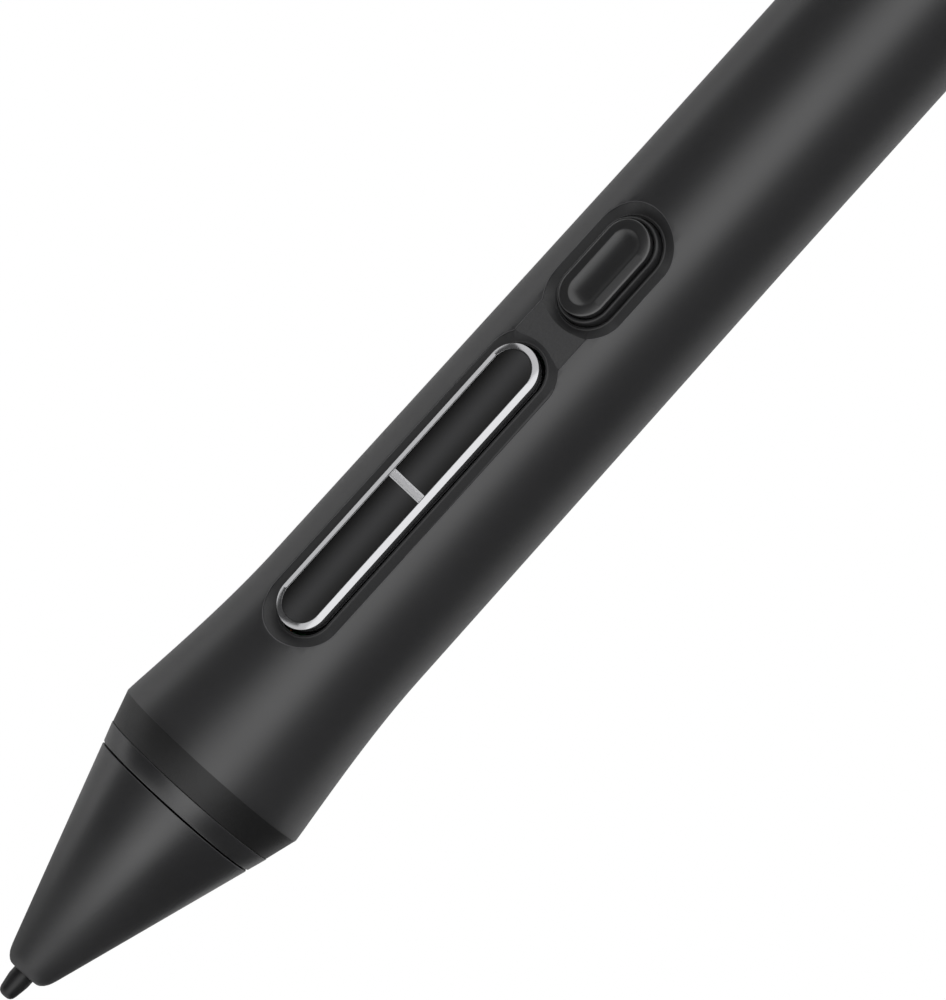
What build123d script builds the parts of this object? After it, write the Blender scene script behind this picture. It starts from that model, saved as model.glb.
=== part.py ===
from build123d import *

import os
from math import radians, sin, sqrt

# A digitising stylus, standing on its nib. The nib's tip is the origin, +Z runs up the axis to
# the tail, and the side buttons face -Y. All lengths are in millimetres.

os.makedirs("parts", exist_ok=True)

# Fits that several pieces share
slip = 0.05  # radial clearance of a fit that slides or turns
snug = 0.02  # clearance of a fit that stays put
seam = 0.12  # joint that shows between two outer shells
overrun = 1.0  # how far a cutter runs past the face that it cuts

# Nib
nib_radius = 0.8
nib_grip_length = 2.6
nib_tip_radius = 0.58
nib_tip_round = 0.32
nib_taper_length = 1.45
nib_hole_clearance = 0.1
nib_travel = 0.3
nib_travel_spare = 0.1

# Nose cone
cone_front = 2.02
cone_length = 14.93
cone_front_radius = 1.62
cone_rear_radius = 6.39
cone_front_round = 0.5
cone_rear_chamfer = 0.1
cone_wall = 0.85
cone_mouth_length = 3.4
cone_socket_length = 4.0

# Trim ring behind the cone
ring_length = 1.36
ring_front_radius = 6.42
ring_rear_radius = 6.87

# Grip sleeve: a lip up to the crest, a flare down to the waist, a taper, and a straight stretch
sleeve_wall = 0.88
sleeve_front_radius = 6.82
lip_length = 2.2
crest_radius = 7.5
crest_round = 0.15
flare_length = 13.35
flare_slope_share = 0.115
flare_length_shares = (0.341, 0.64)
flare_drop_shares = (0.4925, 0.814)
waist_radius = 6.434
taper_length = 36.0
straight_radius = 6.23
straight_length = 25.0

# Inner barrel
barrel_wall = 0.9
spigot_shoulder = 1.1
spigot_wall = 0.8
spigot_length = 5.2
bore_step_length = 1.15
barrel_tail_length = 8.0

# Rear barrel and tail cap
rear_barrel_length = 56.88
rear_barrel_step = 0.03
rear_barrel_end_radius = 4.95
rear_barrel_wall = 1.05
tail_plug_length = 5.0
tail_plug_wall = 1.0
tail_cap_length = 7.88
tail_shoulder_length = 4.5
tail_shoulder_step = 0.23

# Switch surround
flange_thickness = 0.38
flange_half_width = 4.0
flange_margin = 1.3
outline_gap = 0.06
surround_inset = 0.02
bridge_depth = 0.38
recess_end_run = 0.85
recess_end_bow = 0.29

# Rocker switch
rocker_from_crest = 22.7
rocker_half_length = 12.17
rocker_half_width = 1.91
rocker_recess_depth = 0.68
rocker_side_gap = 0.14
rocker_end_gap = 0.28
rocker_proud = 0.47
rocker_swing = 1.8
trim_band = 0.45
trim_sink = 0.1
trim_chamfer = 0.12
divider_width = 0.63
pad_gap = 0.03
pad_sink = 0.13
carrier_inset = 0.06
carrier_thickness = 0.6
foot_arm = 7.5
foot_size = 1.2
foot_gap = 0.02
pivot_drop = 0.48
pivot_boss_radius = 0.85
pivot_side_gap = 0.35
pin_radius = 0.4
ear_gap = 0.07
ear_thickness = 0.64
ear_radius = 0.95

# Upper button
upper_from_rocker = 19.45
upper_half_length = 3.8
upper_half_width = 1.78
upper_recess_depth = 0.81
upper_proud = 0.55
upper_travel = 0.3
upper_gap = 0.14
cap_gap = 0.03
cap_chamfer = 0.1
dish_half_length = 3.1
dish_half_width = 1.1
dish_depth = 0.35
skirt_band = 0.38
skirt_rise = 0.66
skirt_sink = 0.36
skirt_round = 0.3
core_overhang = 0.55
core_half_width = 1.55
core_thickness = 0.4
core_gap = 0.07

# Circuit board, its frame and what is soldered on it
board_setback = 3.0
board_top = 2.2
board_thickness = 0.8
board_edge_gap = 0.35
frame_deck = 1.0
frame_wall = 0.9
switch_length = 3.0
switch_width = 2.6
switch_thickness = 0.9
switch_corner = 0.2
switch_button_radius = 0.65
switch_button_height = 0.4
chip_from_upper = 10.7
chip_side = 5.0
chip_thickness = 0.8
capacitor_from_chip = 5.5
capacitor_length = 1.0
capacitor_width = 0.5
capacitor_pitch = 1.6
capacitor_offset = 1.2
capacitors_per_row = 4
screw_inset = 2.85
screw_radius = 0.7
screw_head_radius = 1.0
screw_head_thickness = 0.5
screw_depth = 2.0
screw_slot_width = 0.4
cushion_thickness = 2.8
stop_thickness = 2.0

# Pressure sensor and nib holder
sensor_radius = 2.6
sensor_thickness = 1.1
housing_guide_length = 2.35
housing_chamber_length = 4.1
housing_tail_length = 3.9
chamber_radius = 2.3
holder_from_collar = 1.1
holder_flange_radius = 2.2
holder_flange_thickness = 0.8
holder_stem_radius = 1.1
spring_wire_radius = 0.15
spring_radius = 1.6
spring_turns = 4

# Coil
core_radius = 1.7
core_bore = 0.95
core_length = 9.8
core_lap = 0.1
former_wall = 0.28
former_length = 6.9
former_flange_depth = 0.45
former_flange_thickness = 0.5
collar_length = 3.2
collar_step = 0.1
winding_depth = 0.38
lead_radius = 0.15
lead_offset = 1.2
lead_lap = 0.9
lead_board_lap = 1.3
lead_groove_gap = 0.1

# Heights up the pen
cone_rear = cone_front + cone_length
ring_front = cone_rear + seam
ring_rear = ring_front + ring_length
sleeve_front = ring_rear + snug
crest_height = sleeve_front + lip_length
waist_height = crest_height + flare_length
straight_height = waist_height + taper_length
sleeve_rear = straight_height + straight_length
rear_barrel_front = sleeve_rear + seam
barrel_rear = sleeve_rear + barrel_tail_length
rear_barrel_end = rear_barrel_front + rear_barrel_length
tail_cap_front = rear_barrel_end + seam
pen_length = tail_cap_front + tail_cap_length
rocker_height = crest_height + rocker_from_crest
upper_height = rocker_height + upper_from_rocker
front_switch_height = rocker_height - foot_arm
rear_switch_height = rocker_height + foot_arm
barrel_bore_front = sleeve_front + bore_step_length
collar_rear = barrel_bore_front - collar_step
collar_front = collar_rear - collar_length
former_front = collar_front - former_length
winding_front = former_front + former_flange_thickness + snug
core_rear = collar_front + core_lap
housing_front = barrel_bore_front + slip
chamber_front = housing_front + housing_guide_length
sensor_front = chamber_front + housing_chamber_length
housing_rear = sensor_front + housing_tail_length
board_front = housing_rear + slip
board_rear = sleeve_rear - board_setback
board_length = board_rear - board_front
screw_heights = (board_front + screw_inset, board_rear - screw_inset)
holder_front = collar_front + holder_from_collar
holder_rear = sensor_front - nib_travel - nib_travel_spare
nib_length = holder_front + nib_grip_length

# Radii from the outside in
sleeve_bore = straight_radius - sleeve_wall
barrel_radius = sleeve_bore - slip
barrel_bore = barrel_radius - barrel_wall
spigot_radius = barrel_radius - spigot_shoulder
spigot_bore = spigot_radius - spigot_wall
cone_socket = spigot_radius + slip
flange_inner = barrel_radius - flange_thickness
frame_radius = barrel_bore - slip
former_bore = core_radius + snug
former_radius = former_bore + former_wall
holder_radius = former_bore - 2 * slip
nib_hole = nib_radius + nib_hole_clearance


def cone_radius(height):
    """Outer radius of the nose cone."""
    share = (height - cone_front) / cone_length
    return cone_front_radius + (cone_rear_radius - cone_front_radius) * share


def grip_radius(height):
    """Outer radius of the grip between its waist and its straight stretch."""
    share = (height - waist_height) / taper_length
    return waist_radius + (straight_radius - waist_radius) * share


# Depths below, and heights above, the grip's surface at each button, as distances from the axis
rocker_surface = grip_radius(rocker_height)
rocker_floor = rocker_surface - rocker_recess_depth
rocker_top = rocker_surface + rocker_proud
rocker_recess_half_width = sqrt(rocker_surface**2 - rocker_floor**2)
rocker_aperture_half_length = rocker_half_length + rocker_end_gap
rocker_aperture_half_width = rocker_half_width + rocker_side_gap
rocker_recess_half_length = rocker_aperture_half_length + recess_end_run
upper_surface = grip_radius(upper_height)
upper_floor = upper_surface - upper_recess_depth
upper_top = upper_surface + upper_proud
upper_recess_half_width = sqrt(upper_surface**2 - upper_floor**2)
skirt_half_length = upper_half_length + skirt_band
skirt_half_width = upper_half_width + skirt_band
upper_aperture_half_length = skirt_half_length + upper_gap
upper_aperture_half_width = skirt_half_width + upper_gap
upper_recess_half_length = upper_aperture_half_length + recess_end_run
bridge_front = rocker_height + rocker_aperture_half_length
bridge_rear = upper_height - upper_aperture_half_length
bridge_surface = grip_radius((bridge_front + bridge_rear) / 2)
bridge_floor = bridge_surface - bridge_depth
bridge_half_width = sqrt(bridge_surface**2 - bridge_floor**2)
window_front = rocker_height - rocker_recess_half_length
window_rear = upper_height + upper_recess_half_length
flange_front = window_front - flange_margin
flange_rear = window_rear + flange_margin
trim_base = rocker_floor - trim_sink
carrier_bottom = trim_base - snug - carrier_thickness
pivot_depth = carrier_bottom - pivot_drop
ear_inner = rocker_aperture_half_width + ear_gap
ear_outer = ear_inner + ear_thickness
window_half_width = ear_outer + 2 * ear_gap
switch_top = board_top + switch_thickness
switch_button_top = switch_top + switch_button_height
foot_bottom = switch_button_top + (foot_arm + foot_size / 2) * sin(radians(rocker_swing)) + foot_gap
board_bottom = board_top - board_thickness
frame_top = board_bottom - snug
board_half_width = sqrt(frame_radius**2 - board_top**2) - board_edge_gap
lead_height = board_top + lead_radius + snug
lead_groove_half_width = lead_radius + lead_groove_gap
lead_groove_floor = lead_height - lead_groove_half_width


def outward(depth):
    """Plane at a distance from the axis that faces out of the buttons; its x runs up the pen."""
    return Plane(origin=(0, -depth, 0), x_dir=(0, 0, 1), z_dir=(0, -1, 0))


def turned(*outline):
    """Half section of a turned piece, from its (radius, height) points."""
    with BuildSketch(Plane.XZ) as section:
        with BuildLine():
            Polyline(*outline, close=True)
        make_face()
    return section.sketch


def grip_section(bore, inset):
    """Half section of the grip, from a bore to its outer surface less an inset."""
    crest = (crest_radius - inset, crest_height)
    waist = (waist_radius - inset, waist_height)
    drop = crest_radius - waist_radius
    flare = [
        (crest[0] - drop_share * drop, crest_height + length_share * flare_length)
        for length_share, drop_share in zip(flare_length_shares, flare_drop_shares)
    ]
    flare_end = (straight_radius - waist_radius, taper_length)
    with BuildSketch(Plane.XZ) as section:
        with BuildLine():
            Polyline((bore, sleeve_front), (sleeve_front_radius - inset, sleeve_front), crest)
            Spline(crest, *flare, waist, tangents=((-flare_slope_share, 1), flare_end))
            Polyline(
                waist,
                (straight_radius - inset, straight_height),
                (straight_radius - inset, sleeve_rear),
                (bore, sleeve_rear),
                (bore, sleeve_front),
            )
        make_face()
    return section.sketch


def racetrack(height, half_length, half_width):
    """Outline with straight sides and round ends, about a height up the pen."""
    with BuildSketch(Plane.XY) as outline:
        with Locations((height, 0)):
            SlotOverall(2 * half_length, 2 * half_width)
    return outline.sketch


def surround_outline(gap):
    """Outline of the two recesses and the flat bridge between them, grown by a gap."""
    with BuildSketch(Plane.XY) as outline:
        add(racetrack(rocker_height, rocker_recess_half_length + gap, rocker_recess_half_width + gap))
        add(racetrack(upper_height, upper_recess_half_length + gap, upper_recess_half_width + gap))
        with Locations(((rocker_height + upper_height) / 2, 0)):
            Rectangle(upper_height - rocker_height, 2 * (bridge_half_width + gap))
    return outline.sketch


def bowed_outline(height, tip, corner, half_width):
    """Outline with straight sides, and ends that bow out from their corners to a tip."""
    with BuildSketch(Plane.XY) as outline:
        with BuildLine():
            for end in (1, -1):
                start = (height + end * corner, -end * half_width)
                finish = (height + end * corner, end * half_width)
                Line((height - end * corner, -end * half_width), start)
                ThreePointArc(start, (height + end * tip, 0), finish)
        make_face()
    return outline.sketch


def recess_cutter(height, floor, mouth, half_width):
    """Cutter for a recess with a flat floor and ends that slope up to the grip's surface."""
    surface = grip_radius(height)
    length = mouth + recess_end_run
    wide = half_width + outline_gap
    with BuildPart() as cutter:
        with BuildSketch(outward(floor)):
            add(bowed_outline(height, mouth, length - half_width, wide))
        with BuildSketch(outward(surface)):
            add(bowed_outline(height, length, length - recess_end_bow, wide))
        loft(ruled=True)
        with BuildSketch(outward(surface)):
            add(bowed_outline(height, length, length - recess_end_bow, wide))
        extrude(amount=overrun)
    return cutter.part


# Nib: a moulded point that is pulled out and replaced when it is worn.
nib_shoulder = (nib_tip_radius, nib_tip_round)
nib_slope = (nib_radius - nib_tip_radius, nib_taper_length - nib_tip_round)
with BuildPart() as nib:
    with BuildSketch(Plane.XZ):
        with BuildLine():
            Spline((0, 0), nib_shoulder, tangents=((1, 0), nib_slope))
            Polyline(
                nib_shoulder,
                (nib_radius, nib_taper_length),
                (nib_radius, nib_length),
                (0, nib_length),
                (0, 0),
            )
        make_face()
    revolve(axis=Axis.Z)
nib.part.label = "nib"
export_step(nib.part, "parts/nib.step")

# Nose cone: it screws on to the spigot of the inner barrel and covers the coil.
cone_mouth_end = cone_front + cone_mouth_length
cone_socket_front = cone_rear - cone_socket_length
with BuildPart() as nose_cone:
    revolve(
        turned(
            (nib_hole, cone_front),
            (cone_front_radius, cone_front),
            (cone_rear_radius, cone_rear),
            (cone_socket, cone_rear),
            (cone_socket, cone_socket_front),
            (cone_radius(cone_mouth_end) - cone_wall, cone_mouth_end),
            (nib_hole, cone_mouth_end),
        ),
        axis=Axis.Z,
    )
    fillet(nose_cone.edges().group_by(Axis.Z)[0].sort_by(SortBy.LENGTH)[-1], radius=cone_front_round)
    chamfer(nose_cone.edges().group_by(Axis.Z)[-1].sort_by(SortBy.LENGTH)[-1], length=cone_rear_chamfer)
nose_cone.part.label = "nose_cone"
export_step(nose_cone.part, "parts/nose_cone.step")

# Front ring: it is trapped between the cone and the grip.
with BuildPart() as front_ring:
    revolve(
        turned(
            (cone_socket, ring_front),
            (ring_front_radius, ring_front),
            (ring_rear_radius, ring_rear),
            (cone_socket, ring_rear),
        ),
        axis=Axis.Z,
    )
front_ring.part.label = "front_ring"
export_step(front_ring.part, "parts/front_ring.step")

# Grip sleeve: soft rubber, pulled over the inner barrel, with one opening for the buttons.
with BuildPart() as grip_sleeve:
    add(grip_section(sleeve_bore, 0))
    revolve(axis=Axis.Z)
    fillet(grip_sleeve.edges().filter_by(GeomType.CIRCLE).sort_by(SortBy.LENGTH)[-1], radius=crest_round)
    with BuildSketch(outward(window_half_width)):
        add(surround_outline(outline_gap))
    extrude(amount=crest_radius, mode=Mode.SUBTRACT)
grip_sleeve.part.label = "grip_sleeve"
export_step(grip_sleeve.part, "parts/grip_sleeve.step")

# Inner barrel: the tube that carries everything, with a spigot in front for the cone.
with BuildPart() as inner_barrel:
    revolve(
        turned(
            (spigot_bore, sleeve_front - spigot_length),
            (spigot_radius, sleeve_front - spigot_length),
            (spigot_radius, sleeve_front),
            (barrel_radius, sleeve_front),
            (barrel_radius, barrel_rear),
            (barrel_bore, barrel_rear),
            (barrel_bore, barrel_bore_front),
            (spigot_bore, barrel_bore_front),
        ),
        axis=Axis.Z,
    )
    with BuildSketch(Plane.XY.offset(flange_front - snug)):
        Circle(barrel_radius + overrun)
        Circle(flange_inner, mode=Mode.SUBTRACT)
        with Locations((0, -barrel_radius)):
            Rectangle(2 * (flange_half_width + snug), 2 * barrel_radius, mode=Mode.INTERSECT)
    extrude(amount=flange_rear - flange_front + 2 * snug, mode=Mode.SUBTRACT)
    with BuildSketch(outward(window_half_width)):
        with Locations(((window_front + window_rear) / 2, 0)):
            Rectangle(window_rear - window_front, 2 * window_half_width)
    extrude(amount=barrel_radius, mode=Mode.SUBTRACT)
inner_barrel.part.label = "inner_barrel"
export_step(inner_barrel.part, "parts/inner_barrel.step")

# Switch surround: a hard insert that fills the sleeve's opening, with a recess for each button.
with BuildPart() as switch_surround:
    with BuildSketch(outward(window_half_width)):
        add(surround_outline(0))
    extrude(amount=barrel_radius)
    revolve(grip_section(flange_inner + snug, surround_inset), axis=Axis.Z, mode=Mode.INTERSECT)
    with BuildSketch(Plane.XY.offset(flange_front)):
        Circle(barrel_radius)
        Circle(flange_inner + snug, mode=Mode.SUBTRACT)
        with Locations((0, -barrel_radius)):
            Rectangle(2 * flange_half_width, 2 * barrel_radius, mode=Mode.INTERSECT)
    extrude(amount=flange_rear - flange_front)
    with BuildSketch(outward(bridge_floor)):
        with Locations(((bridge_front + bridge_rear) / 2, 0)):
            Rectangle(bridge_rear - bridge_front, 2 * upper_recess_half_width)
    extrude(amount=overrun, mode=Mode.SUBTRACT)
    add(
        recess_cutter(rocker_height, rocker_floor, rocker_aperture_half_length, rocker_recess_half_width),
        mode=Mode.SUBTRACT,
    )
    add(
        recess_cutter(upper_height, upper_floor, upper_aperture_half_length, upper_recess_half_width),
        mode=Mode.SUBTRACT,
    )
    with BuildSketch(outward(window_half_width)):
        add(racetrack(rocker_height, rocker_aperture_half_length, rocker_aperture_half_width))
        add(racetrack(upper_height, upper_aperture_half_length, upper_aperture_half_width))
    extrude(amount=barrel_radius, mode=Mode.SUBTRACT)
    for side in (-1, 1):
        with BuildSketch(Plane.YZ.offset(side * ear_inner)):
            with Locations((-pivot_depth, rocker_height)):
                Circle(ear_radius)
            with Locations((-(pivot_depth + rocker_floor) / 2, rocker_height)):
                Rectangle(rocker_floor - pivot_depth, 2 * ear_radius)
        extrude(amount=side * ear_thickness)
    with BuildSketch(Plane.YZ):
        with Locations((-pivot_depth, rocker_height)):
            Circle(pin_radius + snug)
    extrude(amount=ear_outer, both=True, mode=Mode.SUBTRACT)
switch_surround.part.label = "switch_surround"
export_step(switch_surround.part, "parts/switch_surround.step")

# Rocker pin: a steel rod held in the surround's two ears.
with BuildPart() as rocker_pin:
    with BuildSketch(Plane.YZ):
        with Locations((-pivot_depth, rocker_height)):
            Circle(pin_radius)
    extrude(amount=ear_outer - snug, both=True)
rocker_pin.part.label = "rocker_pin"
export_step(rocker_pin.part, "parts/rocker_pin.step")


def crown(radius):
    """Round bar about the pen's axis, to crown the buttons with."""
    with BuildPart() as bar:
        with BuildSketch(Plane.XY.offset(window_front)):
            Circle(radius)
        extrude(amount=window_rear - window_front)
    return bar.part


# Rocker carrier: the hidden frame of the rocker, with a foot over each switch and a pivot boss.
pivot_boss_half_width = ear_inner - pivot_side_gap
with BuildPart() as rocker_carrier:
    with BuildSketch(outward(carrier_bottom)):
        add(racetrack(rocker_height, rocker_half_length - carrier_inset, rocker_half_width - carrier_inset))
    extrude(amount=carrier_thickness)
    with BuildSketch(outward(foot_bottom)):
        with Locations((front_switch_height, 0), (rear_switch_height, 0)):
            Rectangle(foot_size, foot_size)
    extrude(amount=carrier_bottom - foot_bottom)
    with BuildSketch(Plane.YZ):
        with Locations((-pivot_depth, rocker_height)):
            Circle(pivot_boss_radius)
        with Locations((-(pivot_depth + carrier_bottom) / 2, rocker_height)):
            Rectangle(carrier_bottom - pivot_depth, 2 * pivot_boss_radius)
    extrude(amount=pivot_boss_half_width, both=True)
    with BuildSketch(Plane.YZ):
        with Locations((-pivot_depth, rocker_height)):
            Circle(pin_radius + slip)
    extrude(amount=ear_outer, both=True, mode=Mode.SUBTRACT)
rocker_carrier.part.label = "rocker_carrier"
export_step(rocker_carrier.part, "parts/rocker_carrier.step")

# Rocker trim: a plated frame round both pads, with a divider between them.
with BuildPart() as rocker_trim:
    with BuildSketch(outward(trim_base)):
        add(racetrack(rocker_height, rocker_half_length, rocker_half_width))
    extrude(amount=rocker_top - trim_base)
    add(crown(rocker_top), mode=Mode.INTERSECT)
    chamfer(rocker_trim.faces().sort_by(Axis.Y)[0].outer_wire().edges(), length=trim_chamfer)
    with BuildSketch(outward(trim_base)):
        add(racetrack(rocker_height, rocker_half_length - trim_band, rocker_half_width - trim_band))
        with Locations((rocker_height, 0)):
            Rectangle(divider_width, 2 * rocker_half_width, mode=Mode.SUBTRACT)
    extrude(amount=rocker_top - trim_base, mode=Mode.SUBTRACT)
rocker_trim.part.label = "rocker_trim"
export_step(rocker_trim.part, "parts/rocker_trim.step")

# Pads: two matte inlays that fill the trim, a little lower than it.
inlay = trim_band + pad_gap
pad_start = divider_width / 2 + pad_gap
for name, side in (("front_pad", -1), ("rear_pad", 1)):
    with BuildPart() as pad:
        with BuildSketch(outward(trim_base)):
            add(racetrack(rocker_height, rocker_half_length - inlay, rocker_half_width - inlay))
            with Locations((rocker_height + side * (pad_start + rocker_half_length / 2), 0)):
                Rectangle(rocker_half_length, 2 * rocker_half_width, mode=Mode.INTERSECT)
        extrude(amount=rocker_top - trim_base)
        add(crown(rocker_top - pad_sink), mode=Mode.INTERSECT)
    pad.part.label = name
    export_step(pad.part, f"parts/{name}.step")

# Upper button core: it slides in the surround and keeps the button from falling out.
skirt_base = upper_floor - skirt_sink
core_top = sqrt(flange_inner**2 - core_half_width**2) - core_gap
core_bottom = core_top - core_thickness
core_foot = switch_button_top + snug
with BuildPart() as upper_core:
    with BuildSketch(outward(core_bottom)):
        add(racetrack(upper_height, upper_aperture_half_length + core_overhang, core_half_width))
    extrude(amount=core_thickness)
    with BuildSketch(outward(core_top)):
        add(racetrack(upper_height, upper_half_length, upper_half_width))
    extrude(amount=skirt_base - snug - core_top)
    with BuildSketch(outward(core_foot)):
        with Locations((upper_height, 0)):
            Circle(switch_button_radius)
    extrude(amount=core_bottom - core_foot)
upper_core.part.label = "upper_core"
export_step(upper_core.part, "parts/upper_core.step")

# Upper button skirt: a gloss ring round the cap.
with BuildPart() as upper_skirt:
    with BuildSketch(outward(skirt_base)):
        add(racetrack(upper_height, skirt_half_length, skirt_half_width))
    extrude(amount=skirt_sink + skirt_rise)
    fillet(upper_skirt.faces().sort_by(Axis.Y)[0].outer_wire().edges(), radius=skirt_round)
    with BuildSketch(outward(skirt_base)):
        add(racetrack(upper_height, upper_half_length + cap_gap, upper_half_width + cap_gap))
    extrude(amount=skirt_sink + skirt_rise, mode=Mode.SUBTRACT)
upper_skirt.part.label = "upper_skirt"
export_step(upper_skirt.part, "parts/upper_skirt.step")

# Upper button cap: a satin rim round a finger dish.
dish_radius = (dish_half_width**2 + dish_depth**2) / (2 * dish_depth)
dish_centre = upper_top + dish_radius - dish_depth
dish_run = dish_half_length - dish_half_width
with BuildPart() as upper_cap:
    with BuildSketch(outward(skirt_base)):
        add(racetrack(upper_height, upper_half_length, upper_half_width))
    extrude(amount=upper_top - skirt_base)
    add(crown(upper_top), mode=Mode.INTERSECT)
    chamfer(upper_cap.faces().sort_by(Axis.Y)[0].outer_wire().edges(), length=cap_chamfer)
    with BuildSketch(outward(dish_centre)):
        add(racetrack(upper_height, dish_run + dish_radius, dish_radius))
        with Locations((upper_height, dish_radius)):
            Rectangle(2 * (dish_run + dish_radius), 2 * dish_radius, mode=Mode.INTERSECT)
    revolve(axis=Axis((0, -dish_centre, 0), (0, 0, 1)), mode=Mode.SUBTRACT)
upper_cap.part.label = "upper_cap"
export_step(upper_cap.part, "parts/upper_cap.step")

# Board frame: a channel-backed spine that the circuit board lies on.
with BuildPart() as board_frame:
    with BuildSketch(Plane.XY.offset(board_front)):
        Circle(frame_radius)
        with Locations((0, frame_radius - frame_top)):
            Rectangle(2 * frame_radius, 2 * frame_radius, mode=Mode.INTERSECT)
    extrude(amount=board_length)
    with BuildSketch(Plane.XY.offset(board_front)):
        Circle(frame_radius - frame_wall)
        with Locations((0, frame_radius - frame_top + frame_deck)):
            Rectangle(2 * frame_radius, 2 * frame_radius, mode=Mode.INTERSECT)
    extrude(amount=board_length, mode=Mode.SUBTRACT)
    with BuildSketch(outward(frame_top)):
        with Locations(*((height, 0) for height in screw_heights)):
            Circle(screw_radius + snug)
    extrude(amount=-frame_deck, mode=Mode.SUBTRACT)
board_frame.part.label = "board_frame"
export_step(board_frame.part, "parts/board_frame.step")

# Circuit board
with BuildPart() as circuit_board:
    with BuildSketch(outward(board_bottom)):
        with Locations(((board_front + board_rear) / 2, 0)):
            Rectangle(board_length, 2 * board_half_width)
        with Locations(*((height, 0) for height in screw_heights)):
            Circle(screw_radius + slip, mode=Mode.SUBTRACT)
    extrude(amount=board_thickness)
circuit_board.part.label = "circuit_board"
export_step(circuit_board.part, "parts/circuit_board.step")

# Board screws: two slotted screws through the board into the frame.
with BuildPart() as board_screws:
    for radius, length in ((screw_head_radius, screw_head_thickness), (screw_radius, -screw_depth)):
        with BuildSketch(outward(board_top)):
            with Locations(*((height, 0) for height in screw_heights)):
                Circle(radius)
        extrude(amount=length)
    with BuildSketch(outward(board_top + screw_head_thickness)):
        with Locations(*((height, 0) for height in screw_heights)):
            Rectangle(2 * screw_head_radius, screw_slot_width)
    extrude(amount=-screw_head_thickness / 2, mode=Mode.SUBTRACT)
board_screws.part.label = "board_screws"
export_step(board_screws.part, "parts/board_screws.step")


def switch_body(height):
    """Square body of a push switch, soldered on the board."""
    with BuildPart() as body:
        with BuildSketch(outward(board_top)):
            with Locations((height, 0)):
                Rectangle(switch_length, switch_width)
        extrude(amount=switch_thickness)
        chamfer(body.edges().filter_by(Axis.Y), length=switch_corner)
    return body.part


# Push switches under the rocker, each with its button
for name, height in (("front_switch", front_switch_height), ("rear_switch", rear_switch_height)):
    with BuildPart() as push_switch:
        add(switch_body(height))
        with BuildSketch(outward(switch_top)):
            with Locations((height, 0)):
                Circle(switch_button_radius)
        extrude(amount=switch_button_height)
    push_switch.part.label = name
    export_step(push_switch.part, f"parts/{name}.step")

# Push switch under the upper button: its button is a piece of its own, which travels.
button_base = switch_top - slip
with BuildPart() as upper_switch:
    add(switch_body(upper_height))
    with BuildSketch(outward(button_base - upper_travel - slip)):
        with Locations((upper_height, 0)):
            Circle(switch_button_radius + slip)
    extrude(amount=switch_thickness, mode=Mode.SUBTRACT)
upper_switch.part.label = "upper_switch"
export_step(upper_switch.part, "parts/upper_switch.step")

with BuildPart() as upper_switch_button:
    with BuildSketch(outward(button_base)):
        with Locations((upper_height, 0)):
            Circle(switch_button_radius)
    extrude(amount=switch_button_top - button_base)
upper_switch_button.part.label = "upper_switch_button"
export_step(upper_switch_button.part, "parts/upper_switch_button.step")

# Controller chip
chip_height = upper_height + chip_from_upper
with BuildPart() as controller_chip:
    with BuildSketch(outward(board_top)):
        with Locations((chip_height, 0)):
            Rectangle(chip_side, chip_side)
    extrude(amount=chip_thickness)
    chamfer(controller_chip.edges().filter_by(Axis.Y), length=switch_corner)
controller_chip.part.label = "controller_chip"
export_step(controller_chip.part, "parts/controller_chip.step")

# Tuning capacitors, in two rows beside the chip
capacitor_start = chip_height + capacitor_from_chip
with BuildPart() as board_capacitors:
    with BuildSketch(outward(board_top)):
        for row in (-capacitor_offset, capacitor_offset):
            for step in range(capacitors_per_row):
                with Locations((capacitor_start + step * capacitor_pitch, row)):
                    Rectangle(capacitor_width, capacitor_length)
    extrude(amount=capacitor_width)
board_capacitors.part.label = "board_capacitors"
export_step(board_capacitors.part, "parts/board_capacitors.step")

# Foam cushion behind the board frame, and the stop that is pressed in behind it
cushion_front = board_rear + slip
with BuildPart() as board_cushion:
    with BuildSketch(Plane.XY.offset(cushion_front)):
        Circle(frame_radius)
    extrude(amount=cushion_thickness)
board_cushion.part.label = "board_cushion"
export_step(board_cushion.part, "parts/board_cushion.step")

with BuildPart() as board_stop:
    with BuildSketch(Plane.XY.offset(cushion_front + cushion_thickness + slip)):
        Circle(barrel_bore - snug)
    extrude(amount=stop_thickness)
board_stop.part.label = "board_stop"
export_step(board_stop.part, "parts/board_stop.step")

# Rear barrel: it is bonded over the inner barrel's end and tapers to the tail.
rear_barrel_radius = straight_radius - rear_barrel_step
rear_socket_end = barrel_rear + slip
tail_bore = rear_barrel_end_radius - rear_barrel_wall
with BuildPart() as rear_barrel:
    revolve(
        turned(
            (sleeve_bore, rear_barrel_front),
            (rear_barrel_radius, rear_barrel_front),
            (rear_barrel_end_radius, rear_barrel_end),
            (tail_bore, rear_barrel_end),
            (tail_bore, rear_barrel_end - tail_plug_length - slip),
            (rear_barrel_radius - 2 * rear_barrel_wall, rear_socket_end + rear_barrel_wall),
            (sleeve_bore, rear_socket_end),
        ),
        axis=Axis.Z,
    )
rear_barrel.part.label = "rear_barrel"
export_step(rear_barrel.part, "parts/rear_barrel.step")

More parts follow.
